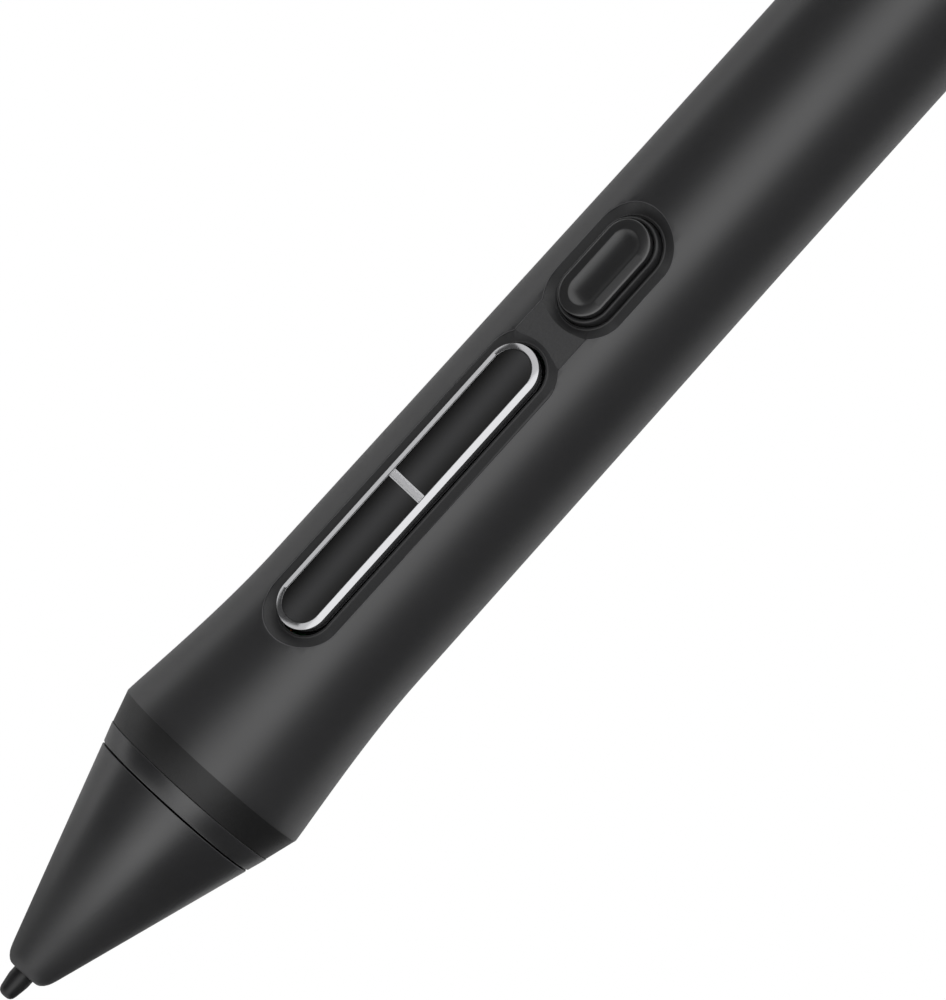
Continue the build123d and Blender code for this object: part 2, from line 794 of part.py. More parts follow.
# Tail cap: a rounded plug with a hollow stem.
plug_front = rear_barrel_end - tail_plug_length
plug_radius = tail_bore - snug
plug_bore = plug_radius - tail_plug_wall
tail_shoulder = (rear_barrel_end_radius - tail_shoulder_step, tail_cap_front + tail_shoulder_length)
with BuildPart() as tail_cap:
    with BuildSketch(Plane.XZ):
        with BuildLine():
            Polyline(
                (0, pen_length),
                (0, tail_cap_front),
                (plug_bore, tail_cap_front),
                (plug_bore, plug_front),
                (plug_radius, plug_front),
                (plug_radius, tail_cap_front),
                (rear_barrel_end_radius, tail_cap_front),
                tail_shoulder,
            )
            tail_slope = (-tail_shoulder_step, tail_shoulder_length)
            Spline(tail_shoulder, (0, pen_length), tangents=(tail_slope, (-1, 0)))
        make_face()
    revolve(axis=Axis.Z)
tail_cap.part.label = "tail_cap"
export_step(tail_cap.part, "parts/tail_cap.step")

# Ferrite core: a sintered tube round the nib.
with BuildPart() as ferrite_core:
    with BuildSketch(Plane.XY.offset(core_rear - core_length)):
        Circle(core_radius)
        Circle(core_bore, mode=Mode.SUBTRACT)
    extrude(amount=core_length)
ferrite_core.part.label = "ferrite_core"
export_step(ferrite_core.part, "parts/ferrite_core.step")

# Coil former: it holds the core and the winding, and its collar sits in the spigot.
with BuildPart() as coil_former:
    revolve(
        turned(
            (former_bore, former_front),
            (former_radius + former_flange_depth, former_front),
            (former_radius + former_flange_depth, former_front + former_flange_thickness),
            (former_radius, former_front + former_flange_thickness),
            (former_radius, collar_front),
            (spigot_bore - snug, collar_front),
            (spigot_bore - snug, collar_rear),
            (former_bore, collar_rear),
        ),
        axis=Axis.Z,
    )
    with BuildSketch(outward(lead_groove_floor)):
        for side in (-1, 1):
            with Locations(((collar_front + collar_rear) / 2, side * lead_offset)):
                Rectangle(collar_length, 2 * lead_groove_half_width)
    extrude(amount=spigot_bore, mode=Mode.SUBTRACT)
coil_former.part.label = "coil_former"
export_step(coil_former.part, "parts/coil_former.step")

# Coil winding: fine enamelled wire, as one sleeve
with BuildPart() as coil_winding:
    with BuildSketch(Plane.XY.offset(winding_front)):
        Circle(former_radius + winding_depth)
        Circle(former_radius + snug, mode=Mode.SUBTRACT)
    extrude(amount=collar_front - snug - winding_front)
coil_winding.part.label = "coil_winding"
export_step(coil_winding.part, "parts/coil_winding.step")

# Coil leads: two wires from the winding to the front end of the board
lead_front = collar_front - lead_lap
with BuildPart() as coil_leads:
    with BuildSketch(Plane.XY.offset(lead_front)):
        with Locations((-lead_offset, -lead_height), (lead_offset, -lead_height)):
            Circle(lead_radius)
    extrude(amount=board_front + lead_board_lap - lead_front)
coil_leads.part.label = "coil_leads"
export_step(coil_leads.part, "parts/coil_leads.step")

# Sensor housing: it guides the nib holder and holds the spring and the sensor.
with BuildPart() as sensor_housing:
    revolve(
        turned(
            (holder_radius + slip, housing_front),
            (barrel_bore - snug, housing_front),
            (barrel_bore - snug, housing_rear),
            (sensor_radius + snug, housing_rear),
            (sensor_radius + snug, sensor_front),
            (chamber_radius, sensor_front),
            (chamber_radius, chamber_front),
            (holder_radius + slip, chamber_front),
        ),
        axis=Axis.Z,
    )
    with BuildSketch(outward(lead_groove_floor)):
        for side in (-1, 1):
            with Locations(((housing_front + housing_rear) / 2, side * lead_offset)):
                Rectangle(housing_rear - housing_front, 2 * lead_groove_half_width)
    extrude(amount=barrel_bore, mode=Mode.SUBTRACT)
sensor_housing.part.label = "sensor_housing"
export_step(sensor_housing.part, "parts/sensor_housing.step")

# Pressure sensor: the disc that the holder's stem presses on, notched for the leads
with BuildPart() as pressure_sensor:
    with BuildSketch(Plane.XY.offset(sensor_front + snug)):
        Circle(sensor_radius)
        for side in (-1, 1):
            with Locations((side * lead_offset, -lead_groove_floor - sensor_radius / 2)):
                Rectangle(2 * lead_groove_half_width, sensor_radius, mode=Mode.SUBTRACT)
    extrude(amount=sensor_thickness)
pressure_sensor.part.label = "pressure_sensor"
export_step(pressure_sensor.part, "parts/pressure_sensor.step")

# Nib holder: it grips the nib's end and slides a little when the nib is pressed.
flange_face = chamber_front + slip
flange_back = flange_face + holder_flange_thickness
with BuildPart() as nib_holder:
    revolve(
        turned(
            (0, nib_length + slip),
            (nib_radius + snug, nib_length + slip),
            (nib_radius + snug, holder_front),
            (holder_radius, holder_front),
            (holder_radius, flange_face),
            (holder_flange_radius, flange_face),
            (holder_flange_radius, flange_back),
            (holder_stem_radius, flange_back),
            (holder_stem_radius, holder_rear),
            (0, holder_rear),
        ),
        axis=Axis.Z,
    )
nib_holder.part.label = "nib_holder"
export_step(nib_holder.part, "parts/nib_holder.step")

# Nib spring: it pushes the holder forward, against the front of its chamber.
spring_front = flange_back + spring_wire_radius + snug
spring_length = sensor_front - spring_wire_radius - snug - spring_front
with BuildPart() as nib_spring:
    with BuildLine():
        coil = Helix(
            pitch=spring_length / spring_turns,
            height=spring_length,
            radius=spring_radius,
            center=(0, 0, spring_front),
        )
    with BuildSketch(Plane(origin=coil @ 0, z_dir=coil % 0)):
        Circle(spring_wire_radius)
    sweep(path=coil)
nib_spring.part.label = "nib_spring"
export_step(nib_spring.part, "parts/nib_spring.step")
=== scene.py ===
from math import cos, pi, radians, sin, sqrt, tan

import bpy
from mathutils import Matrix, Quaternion, Vector


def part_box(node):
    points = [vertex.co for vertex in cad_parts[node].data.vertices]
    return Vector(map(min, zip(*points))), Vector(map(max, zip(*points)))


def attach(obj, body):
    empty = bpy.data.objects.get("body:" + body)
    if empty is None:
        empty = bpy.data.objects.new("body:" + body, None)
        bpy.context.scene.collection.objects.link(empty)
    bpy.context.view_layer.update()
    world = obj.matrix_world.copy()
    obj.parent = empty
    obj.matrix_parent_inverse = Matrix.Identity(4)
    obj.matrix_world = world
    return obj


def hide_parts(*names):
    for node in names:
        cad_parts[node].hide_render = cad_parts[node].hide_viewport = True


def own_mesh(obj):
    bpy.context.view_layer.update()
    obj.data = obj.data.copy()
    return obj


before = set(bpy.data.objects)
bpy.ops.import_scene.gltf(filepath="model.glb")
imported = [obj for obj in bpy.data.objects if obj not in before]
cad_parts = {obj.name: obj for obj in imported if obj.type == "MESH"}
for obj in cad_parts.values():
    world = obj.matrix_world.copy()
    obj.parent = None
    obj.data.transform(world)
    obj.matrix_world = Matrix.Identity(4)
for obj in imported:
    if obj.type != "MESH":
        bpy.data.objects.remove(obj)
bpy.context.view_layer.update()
mm = 0.001

# Camera
# The pen is seen square on from its button side, turned a little and from slightly above, through
# a very long lens. It is rolled so that the tail points to the upper right.
view_turn = radians(24.4)
view_rise = radians(2.7)
pen_lean = radians(47.97)
picture_height = 1000
pixels_per_mm = 15.1
view_height = picture_height / pixels_per_mm * mm
distance = 2000 * mm
aside = Vector((cos(view_turn), sin(view_turn), 0))
back = Vector((sin(view_turn) * cos(view_rise), -cos(view_turn) * cos(view_rise), sin(view_rise)))
aim_along = 45.3 * mm
aim_aside = 1.087 * mm
aim = Vector((0, 0, aim_along)) + aim_aside * aside
bpy.ops.object.camera_add(location=aim + distance * back)
camera = bpy.context.object
camera.rotation_mode = "QUATERNION"
roll = Quaternion((0, 0, 1), pi / 2 - pen_lean)
camera.rotation_quaternion = (-back).to_track_quat("-Z", "Y") @ roll
# The picture is taller than wide, so the sensor's width spans its height.
sensor_width = 36
camera.data.sensor_width = sensor_width
camera.data.lens = sensor_width * distance / view_height
camera.data.clip_start = 0.1
camera.data.clip_end = 10
bpy.context.scene.camera = camera
bpy.context.scene.view_settings.view_transform = "Standard"


# Studio
# A white room lights the pen all round. Tall grey cards stand round it, as flags do in product
# photography, and a tall soft lamp by the camera puts the long highlight on the pen.
def add_node(tree, kind, settings=None, links=None):
    """Adds a node with its settings, and links its inputs to other nodes' outputs."""
    node = tree.nodes.new(kind)
    for key, value in (settings or {}).items():
        if key in node.inputs:
            node.inputs[key].default_value = value
        else:
            setattr(node, key, value)
    for key, (source, output) in (links or {}).items():
        tree.links.new(source.outputs[output], node.inputs[key])
    return node


def colour(code):
    """Turns an sRGB hex value into the linear colour that Blender works in."""
    shares = [int(code[digit:digit + 2], 16) / 255 for digit in (1, 3, 5)]
    return tuple(s / 12.92 if s <= 0.04045 else ((s + 0.055) / 1.055) ** 2.4
                 for s in shares) + (1,)


def seen_white(tree, room_shade, white_kind, output_kind):
    """Shows plain white to the camera, gloss and glass, and a room shade to all other light."""
    path = add_node(tree, "ShaderNodeLightPath")
    gloss = add_node(tree, "ShaderNodeMath", {"operation": "MAXIMUM"}, {
        0: (path, "Is Camera Ray"), 1: (path, "Is Glossy Ray")})
    seen = add_node(tree, "ShaderNodeMath", {"operation": "MAXIMUM"}, {
        0: (gloss, 0), 1: (path, "Is Transmission Ray")})
    white = add_node(tree, white_kind, {"Strength": 1.0, "Color": colour("#ffffff")})
    mix = add_node(tree, "ShaderNodeMixShader", {}, {
        0: (seen, 0), 1: (room_shade, 0), 2: (white, 0)})
    add_node(tree, output_kind, {}, {"Surface": (mix, 0)})


world = bpy.data.worlds.new("white room")
bpy.context.scene.world = world
world.use_nodes = True
world.node_tree.nodes.clear()
room_light = 0.7
dim = add_node(world.node_tree, "ShaderNodeBackground", {
    "Strength": room_light, "Color": colour("#ffffff")})
seen_white(world.node_tree, dim, "ShaderNodeBackground", "ShaderNodeOutputWorld")


def material(name):
    """Starts an empty node material."""
    made = bpy.data.materials.new(name)
    made.use_nodes = True
    made.node_tree.nodes.clear()
    return made


def place(name):
    """Names the active object, and puts its place, turn and scale into its mesh."""
    piece = bpy.context.object
    piece.name = piece.data.name = name
    bpy.ops.object.transform_apply(location=True, rotation=True, scale=True)
    return piece


# Matt white paint, which takes a soft shadow and otherwise disappears into the white ground.
floor_paint = material("white studio paint")
matt = add_node(floor_paint.node_tree, "ShaderNodeBsdfDiffuse", {"Color": colour("#f2f2f2")})
seen_white(floor_paint.node_tree, matt, "ShaderNodeEmission", "ShaderNodeOutputMaterial")
floor_width = 4000 * mm
floor_depth = 900 * mm
bpy.ops.object.select_all(action="DESELECT")
bpy.ops.mesh.primitive_plane_add(size=floor_width, location=(0, 0, -floor_depth))
floor = place("studio_floor")
floor.data.materials.append(floor_paint)

# Each card's turn from the camera as seen from above, and its width, both in degrees; its distance
# from the pen, its bottom and its top in mm; and its grey, which the pen's gloss mirrors.
cards = {
    "left_card": (-61, 72, 400, -400, 300, "#6a6a6a"),
    "left_back_card": (-146, 62, 400, -520, 300, "#d0d0d0"),
    "right_card": (68, 76, 400, -520, 300, "#707070"),
    "right_back_card": (143, 74, 400, -520, 300, "#e0e0e0"),
    "right_low_card": (127, 46, 380, -520, -30, "#606060"),
}
for card_name, (turn, width, away, bottom, top, grey) in cards.items():
    angle = view_turn + radians(turn)
    away, bottom, top = away * mm, bottom * mm, top * mm
    centre = away * Vector((sin(angle), -cos(angle), 0)) + Vector((0, 0, (bottom + top) / 2))
    bpy.ops.mesh.primitive_plane_add(size=1, location=centre, rotation=(pi / 2, 0, angle))
    bpy.context.object.scale = (2 * away * tan(radians(width / 2)), top - bottom, 1)
    card = place(card_name)
    paper = material(f"grey paper, {card_name}")
    flock = add_node(paper.node_tree, "ShaderNodeBsdfDiffuse", {"Color": colour(grey)})
    add_node(paper.node_tree, "ShaderNodeOutputMaterial", {}, {"Surface": (flock, 0)})
    card.data.materials.append(paper)
    card.visible_camera = False
    card.visible_diffuse = False
    card.visible_shadow = False

# The lamp stands a little to the right of the camera, level with the buttons.
lamp_angle = view_turn + radians(8.7)
lamp_way = Vector((sin(lamp_angle), -cos(lamp_angle), 0))
lamp_distance = 380 * mm
lamp_height = 45 * mm
bpy.ops.object.light_add(type="AREA",
                         location=lamp_way * lamp_distance + Vector((0, 0, lamp_height)))
lamp = bpy.context.object
lamp.name = "front_lamp"
lamp.rotation_mode = "QUATERNION"
lamp.rotation_quaternion = lamp_way.to_track_quat("Z", "Y")
lamp.data.shape = "RECTANGLE"
lamp.data.size = 214 * mm
lamp.data.size_y = 1400 * mm
lamp.data.energy = 0.57
lamp.visible_camera = False


# Nib
# The pen's point is a thin moulded acetal rod, pushed into a holder inside the pen. Its blunt end
# is worn round by the tablet's glass.
def turned(name, outline, shell=True, columns=160):
    """Turns a piece from its outline of (radius, height) in mm, along the pen's axis.

    A shell's two ends meet, and a bar's are capped.
    """
    bpy.ops.object.select_all(action="DESELECT")
    radius, height = outline[0]
    bpy.ops.mesh.primitive_circle_add(vertices=columns, radius=radius * mm,
                                      location=(0, 0, height * mm))
    piece = place(name)
    bpy.ops.object.mode_set(mode="EDIT")
    for next_radius, next_height in outline[1:]:
        bpy.ops.mesh.extrude_region_move(
            TRANSFORM_OT_translate={"value": (0, 0, (next_height - height) * mm)})
        share = next_radius / radius
        bpy.ops.transform.resize(value=(share, share, 1), center_override=(0, 0, next_height * mm))
        radius, height = next_radius, next_height
    close_ends(shell)
    return piece


def close_ends(joined):
    """Joins a piece's two open rims or caps both, and leaves edit mode with its faces outwards."""
    bpy.ops.mesh.select_all(action="DESELECT")
    bpy.ops.mesh.select_non_manifold()
    if joined:
        bpy.ops.mesh.bridge_edge_loops()
    else:
        bpy.ops.mesh.fill_holes(sides=0)
    face_outwards()


def face_outwards():
    """Turns all faces of the piece in edit mode outwards, and leaves edit mode."""
    bpy.ops.mesh.select_all(action="SELECT")
    bpy.ops.mesh.normals_make_consistent(inside=False)
    bpy.ops.object.mode_set(mode="OBJECT")


def apply(piece, kind, **settings):
    """Gives a piece a modifier and applies it."""
    bpy.context.view_layer.objects.active = piece
    modifier = piece.modifiers.new(kind, kind)
    for key, value in settings.items():
        setattr(modifier, key, value)
    bpy.ops.object.modifier_apply(modifier=modifier.name)


def shade(piece, edge_angle=35):
    """Shades a piece smooth up to an edge angle in degrees, with its flat faces kept even."""
    bpy.ops.object.select_all(action="DESELECT")
    piece.select_set(True)
    bpy.context.view_layer.objects.active = piece
    bpy.ops.object.shade_smooth_by_angle(angle=radians(edge_angle))
    apply(piece, "WEIGHTED_NORMAL", keep_sharp=True, weight=60)


def soften(piece, width, edge_angle=25):
    """Rounds the edges sharper than an angle by a width in mm, and shades the piece smooth."""
    apply(piece, "BEVEL", width=width * mm, segments=3, limit_method="ANGLE",
          angle_limit=radians(edge_angle), use_clamp_overlap=False)
    shade(piece)


def moulded(name, code, roughness, gloss, grain, depth, uneven=0.04):
    """A moulded surface: a spark texture of a grain in mm, and a shine that varies along it."""
    patch = 7 * mm
    tone_spread = 0.25
    made = material(name)
    tree = made.node_tree
    where = add_node(tree, "ShaderNodeTexCoord")
    fine = add_node(tree, "ShaderNodeTexNoise", {"Scale": 1 / (grain * mm), "Detail": 4.0},
                    {"Vector": (where, "Object")})
    wide = add_node(tree, "ShaderNodeTexNoise", {"Scale": 1 / patch, "Detail": 3.0},
                    {"Vector": (where, "Object")})
    shine = add_node(tree, "ShaderNodeMapRange", {
        "name": "shine", "To Min": roughness - uneven, "To Max": roughness + uneven},
        {"Value": (wide, "Fac")})
    tone = add_node(tree, "ShaderNodeValToRGB", {}, {"Fac": (fine, "Fac")})
    base = colour(code)[:3]
    tone.color_ramp.elements[0].color = tuple((1 - tone_spread) * c for c in base) + (1,)
    tone.color_ramp.elements[1].color = tuple((1 + tone_spread) * c for c in base) + (1,)
    relief = add_node(tree, "ShaderNodeBump", {"Strength": depth, "Distance": grain * mm / 4},
                      {"Height": (fine, "Fac")})
    skin = add_node(tree, "ShaderNodeBsdfPrincipled", {
        "name": "skin", "IOR": 1.5, "Specular IOR Level": gloss},
        {"Base Color": (tone, "Color"), "Roughness": (shine, "Result"),
         "Normal": (relief, "Normal")})
    add_node(tree, "ShaderNodeOutputMaterial", {}, {"Surface": (skin, "BSDF")})
    return made


def fit(piece, made, body, slot, *nodes):
    """Gives a piece its finish, its body and the nodes that it stands for."""
    piece.data.materials.append(made)
    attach(piece, body)
    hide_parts(*nodes)


# Acetal is waxy, so its shine is soft and low.
acetal = moulded("black acetal, moulded", "#19191a",
                 roughness=0.42, gloss=0.5, grain=0.12, depth=0.15)
nib = turned("nib_point", [
    (0.04, 20), (0.8, 20), (0.8, 1.45), (0.748, 1.1), (0.69, 0.75), (0.64, 0.46), (0.58, 0.27),
    (0.47, 0.12), (0.3, 0.03), (0.04, 0)], shell=False, columns=64)
shade(nib, edge_angle=50)
fit(nib, acetal, "nib", "nib_plastic", "nib")

# Nose cone
# A satin moulded cone screws on over the coil. Its small mouth is rounded where the nib comes
# out, and its wide end has a fine round that catches the light beside the gap to the ring.

# The plastic is satin, so it shows the studio as broad soft bands. Fingers and glass have dulled
# it towards the mouth.
satin_black = moulded("black polycarbonate blend, satin moulded", "#1b1b1d",
                      roughness=0.36, gloss=1.0, grain=0.09, depth=0.12)
dull_from, dull_to, extra_roughness = 5 * mm, 13.5 * mm, 0.22
satin_tree = satin_black.node_tree
satin_place = add_node(satin_tree, "ShaderNodeTexCoord")
satin_split = add_node(satin_tree, "ShaderNodeSeparateXYZ", {}, {0: (satin_place, "Object")})
dull = add_node(satin_tree, "ShaderNodeMapRange", {
    "From Min": dull_from, "From Max": dull_to, "To Min": extra_roughness, "To Max": 0.0},
    {"Value": (satin_split, "Z")})
both = add_node(satin_tree, "ShaderNodeMath", {"operation": "ADD"}, {
    0: (satin_tree.nodes["shine"], "Result"), 1: (dull, "Result")})
satin_tree.links.new(both.outputs[0], satin_tree.nodes["skin"].inputs["Roughness"])

front_bore = 4.25
cone = turned("nose_shell", [
    (0.9, 5.42), (0.9, 2.1), (0.98, 2.02), (1.2, 2.03), (1.34, 2.1), (1.54, 2.28), (1.72, 2.53),
    (1.82, 2.74), (1.94, 3.05), (6.355, 16.84), (6.37, 16.9), (6.35, 16.94), (6.3, 16.95),
    (front_bore, 16.95), (front_bore, 12.95), (1.856, 5.42)])
shade(cone)
fit(cone, satin_black, "nose_cone", "satin_plastic", "nose_cone")

# Trim ring
# The ring is moulded in the cone's plastic and slides on the inner barrel's spigot. It continues
# the cone's slope as far as the grip, and stands a hair proud of it.
ring = turned("trim_ring", [
    (front_bore, 17.07), (6.42, 17.07), (6.87, 18.43), (front_bore, 18.43)])
soften(ring, width=0.05)
fit(ring, satin_black, "front_ring", "satin_plastic", "front_ring")

# Grip sleeve
# The grip is soft-touch silicone rubber, moulded as one sleeve. It swells to a crest at the front,
# where a narrow lip with a rougher surface falls away to the ring. One opening lets the buttons
# out. All of these lengths are in mm.
waist_height, waist_radius = 34, 6.434
flare_length, flare_rise = 13.35, 1.066
taper_length, taper_fall = 36, 0.204
shell_bore = 5.35
seam_height = 95
rocker_centre = 43.35
button_centre = 62.8


def grip_radius(height):
    """Outer radius of the grip at a height, both in mm."""
    if height < waist_height:
        share = (waist_height - height) / flare_length
        return waist_radius + flare_rise * (0.071 * share + 1.43 * share**2 - 0.501 * share**3)
    return waist_radius - taper_fall * min((height - waist_height) / taper_length, 1)


def grip_rings(start, end, step, inset=0):
    """Rings of the grip's outer surface, evenly spaced."""
    count = round((end - start) / step)
    heights = [start + (end - start) * index / count for index in range(count + 1)]
    return [(grip_radius(height) - inset, height) for height in heights]


def stretched(name, height, straight, stations, joined=False, columns=96):
    """Shapes a round-ended piece that faces the buttons' way.

    It is centred at a height, and its straight sides reach as far from there as straight says.
    Each station is (half width, distance from the pen's axis). All are in mm.
    """
    bpy.ops.object.select_all(action="DESELECT")
    radius, reach = stations[0]
    bpy.ops.mesh.primitive_circle_add(vertices=columns, radius=radius * mm,
                                      location=(0, -reach * mm, 0),
                                      rotation=(pi / 2, pi / columns, 0))
    piece = place(name)
    bpy.ops.object.mode_set(mode="EDIT")
    for next_radius, next_reach in stations[1:]:
        bpy.ops.mesh.extrude_region_move(
            TRANSFORM_OT_translate={"value": (0, (reach - next_reach) * mm, 0)})
        share = next_radius / radius
        bpy.ops.transform.resize(value=(share, 1, share), center_override=(0, -next_reach * mm, 0))
        radius, reach = next_radius, next_reach
    bpy.ops.object.mode_set(mode="OBJECT")
    for vertex in piece.data.vertices:
        vertex.co.z += height * mm + (straight * mm if vertex.co.z > 0 else -straight * mm)
    bpy.ops.object.mode_set(mode="EDIT")
    close_ends(joined)
    return piece


def block(name, sizes, centre):
    """Adds a plain block to cut or join with, its sizes and centre in mm."""
    bpy.ops.object.select_all(action="DESELECT")
    bpy.ops.mesh.primitive_cube_add(size=1, location=[c * mm for c in centre])
    bpy.context.object.scale = [s * mm for s in sizes]
    return place(name)


def carve(piece, cutter, operation="DIFFERENCE"):
    """Cuts a piece with another, or joins or keeps what they share, and removes the cutter."""
    apply(piece, "BOOLEAN", operation=operation, solver="EXACT", object=cutter)
    bpy.data.objects.remove(cutter)


def opening(gap):
    """The outline of both recesses and the bridge between them, as a solid."""
    foot, top = 2.9, 9
    lower, upper, bridge_width = 2.87 + gap, 3.08 + gap, 4.32 + 2 * gap
    piece = stretched("opening", rocker_centre, 10.44, [(lower, foot), (lower, top)])
    carve(piece, stretched("upper_opening", button_centre, 2.09, [(upper, foot), (upper, top)]),
          "UNION")
    carve(piece, block("bridge", (bridge_width, 6.1, 10), (0, -5.95, 56.3)), "UNION")
    return piece


sleeve = turned("grip_skin", [
    (shell_bore, 18.45), (6.835, 18.45), (7.44, 20.5), (7.475, 20.6), (7.485, 20.68),
    *grip_rings(20.75, 33.95, 0.6)[1:], *grip_rings(34.5, 70, 0.986),
    (6.23, 82), (6.23, seam_height), (shell_bore, seam_height)], columns=192)
carve(sleeve, opening(0.004))
soften(sleeve, width=0.05, edge_angle=32)
# Fine-grained rubber that still has a sheen, so the flare shows broad soft bands.
grip_rubber = moulded("black silicone rubber, soft touch", "#1b1b1d",
                      roughness=0.42, gloss=1.0, grain=0.1, depth=0.1)
# The lip is rougher and looks almost black, and its grain breaks up the light.
lip_rubber = moulded("black silicone rubber, rough lip", "#101011",
                     roughness=0.46, gloss=0.55, grain=0.12, depth=0.35)
# The opening's edge round is painted paler, a painted highlight that draws a fine line round the
# recesses.
edge_highlight_rubber = moulded("black silicone rubber, painted edge highlight", "#48484a",
                      roughness=0.5, gloss=1.0, grain=0.1, depth=0.1)
fit(sleeve, grip_rubber, "barrel", "grip_rubber", "grip_sleeve")
sleeve.data.materials.append(lip_rubber)
sleeve.data.materials.append(edge_highlight_rubber)
lip_top, lip_foot_radius = 20.62 * mm, 6 * mm
opening_start, opening_end, opening_side = 29.9 * mm, 68.1 * mm, -4 * mm
for face in sleeve.data.polygons:
    if face.center.z < lip_top and face.center.xy.length > lip_foot_radius:
        face.material_index = 1
    elif opening_start < face.center.z < opening_end and face.center.y < opening_side:
        # The edge's round leans between the hole's wall, at 0, and the grip's own surface, at 1.
        if 0.2 < face.normal.xy.dot(face.center.xy.normalized()) < 0.985:
            # Faces of the edge's round take the paler colour, a painted highlight.
            face.material_index = 2

# Switch surround
# A hard insert fills the opening. Its surface dips to a flat floor round each button and rises to
# the grip again at the ends, and a flat bridge parts the two dips.
insert_bore = 4.94
insert_start, insert_end = 28, 70
rocker_hole_straight, button_hole_straight = 10.4, 2.05
surround = turned("button_surround", [
    (insert_bore, insert_start), *grip_rings(insert_start, insert_end, 0.7, inset=0.02),
    (insert_bore, insert_end)], columns=192)
carve(surround, opening(0), "INTERSECT")
carve(surround, block("bridge_level", (8, 2, 2.72), (0, -6.9, 57.14)))


def dip(height, straight, floor_reach, mouth, rim):
    """A dip's space: a ledge in the button's hole, a fine bead, a floor, and rising sides."""
    rim_reach = floor_reach + 0.1
    space = stretched("dip", height, straight, [
        (mouth - 0.1, floor_reach - 0.05), (mouth - 0.01, floor_reach - 0.05),
        (mouth, floor_reach + 0.02), (mouth + 0.04, floor_reach + 0.045),
        (mouth + 0.13, floor_reach), (rim, rim_reach), (rim, 8)])
    # The rim follows the grip, a hair below it.
    for vertex in space.data.vertices:
        if abs(vertex.co.y + rim_reach * mm) < 0.01 * mm:
            surface = sqrt(grip_radius(vertex.co.z / mm)**2 - (vertex.co.x / mm)**2)
            vertex.co.y = -max(floor_reach + 0.001, surface - 0.04) * mm
    return space


carve(surround, dip(rocker_centre, rocker_hole_straight, 5.68, mouth=2.05, rim=2.93))
carve(surround, dip(button_centre, button_hole_straight, 5.44, mouth=2.3, rim=3.14))
carve(surround, stretched("rocker_hole", rocker_centre, rocker_hole_straight,
                          [(1.96, 2.5), (1.96, 8)]))
carve(surround, stretched("button_hole", button_centre, button_hole_straight,
                          [(2.21, 2.5), (2.21, 8)]))
soften(surround, width=0.02, edge_angle=20)
# Matte and lightly grained, so the dips stay an even dark grey.
surround_plastic = moulded("black moulded plastic, matte", "#29292a",
                           roughness=0.55, gloss=0.6, grain=0.1, depth=0.35)
# The bridge has a coarser spark texture, so it is paler and sparkles faintly.
bridge_plastic = moulded("black moulded plastic, spark texture", "#3a3a3b",
                         roughness=0.6, gloss=0.6, grain=0.13, depth=0.6)
fit(surround, surround_plastic, "barrel", "surround_plastic", "switch_surround")
surround.data.materials.append(bridge_plastic)
bridge_start, bridge_end, bridge_side = 55.7 * mm, 58.6 * mm, -5.85 * mm
for face in surround.data.polygons:
    if bridge_start < face.center.z < bridge_end and face.center.y < bridge_side:
        if face.normal.y < -0.99:
            face.material_index = 1


# Rocker frame and divider
# A plated frame holds the two pads, and its top leans outwards all round. A narrow bar with two
# bevelled edges parts the pads. Both are moulded ABS with chrome plate, and the bar is crowned to
# follow the pen.
def crown(piece, radius):
    """Lowers a button's sides to the pen's roundness, of a radius in mm."""
    for vertex in piece.data.vertices:
        vertex.co.y += radius * mm - sqrt((radius * mm)**2 - vertex.co.x**2)


def plated(name, code, smooth, rough):
    """Chrome plate on ABS, whose polish varies a little from place to place."""
    patch = 1.5 * mm
    made = material(name)
    tree = made.node_tree
    where = add_node(tree, "ShaderNodeTexCoord")
    haze = add_node(tree, "ShaderNodeTexNoise", {"Scale": 1 / patch, "Detail": 4.0},
                    {"Vector": (where, "Object")})
    polish = add_node(tree, "ShaderNodeMapRange", {"To Min": smooth, "To Max": rough},
                      {"Value": (haze, "Fac")})
    plate = add_node(tree, "ShaderNodeBsdfPrincipled", {
        "Metallic": 1.0, "Base Color": colour(code)}, {"Roughness": (polish, "Result")})
    add_node(tree, "ShaderNodeOutputMaterial", {}, {"Surface": (plate, "BSDF")})
    return made


rocker_straight = 10.26
trim = stretched("rocker_frame", rocker_centre, rocker_straight, [
    (1.91, 5.6), (1.91, 6.595), (1.54, 6.79), (1.5, 6.8), (1.47, 6.79), (1.46, 6.76),
    (1.46, 5.6)], joined=True)
shade(trim, edge_angle=40)

bar_length, bar_width, bar_foot = 3.04 * mm, 0.66 * mm, 6.3 * mm
bpy.ops.object.select_all(action="DESELECT")
bpy.ops.mesh.primitive_grid_add(x_subdivisions=24, y_subdivisions=1, size=1,
                                location=(0, -bar_foot, rocker_centre * mm),
                                rotation=(pi / 2, 0, 0))
bpy.context.object.scale = (bar_length, bar_width, 1)
bar = place("rocker_bar")
bpy.ops.object.mode_set(mode="EDIT")
# Straight sides, and above them two bevels that leave a narrower flat top.
for rise, share in ((0.44, 1.0), (0.07, 0.62)):
    bpy.ops.mesh.extrude_region_move(TRANSFORM_OT_translate={"value": (0, -rise * mm, 0)})
    bpy.ops.transform.resize(value=(1, 1, share), center_override=(0, 0, rocker_centre * mm))
face_outwards()
crown(bar, radius=40)
soften(bar, width=0.02, edge_angle=20)

# Bright plate is nearly a mirror, so the frame flashes white where it meets the white room.
chrome = plated("bright chrome plate on ABS", "#b8b8ba", smooth=0.12, rough=0.2)
# Satin plate scatters the light, so the divider's top is an even pale grey.
satin_chrome = plated("satin chrome plate on ABS", "#f2f2f4", smooth=0.6, rough=0.7)
fit(trim, chrome, "rocker", "chrome_trim", "rocker_trim")
bar.data.materials.append(chrome)
bar.data.materials.append(satin_chrome)
for face in bar.data.polygons:
    if face.normal.y < -0.95:
        face.material_index = 1
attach(bar, "rocker")
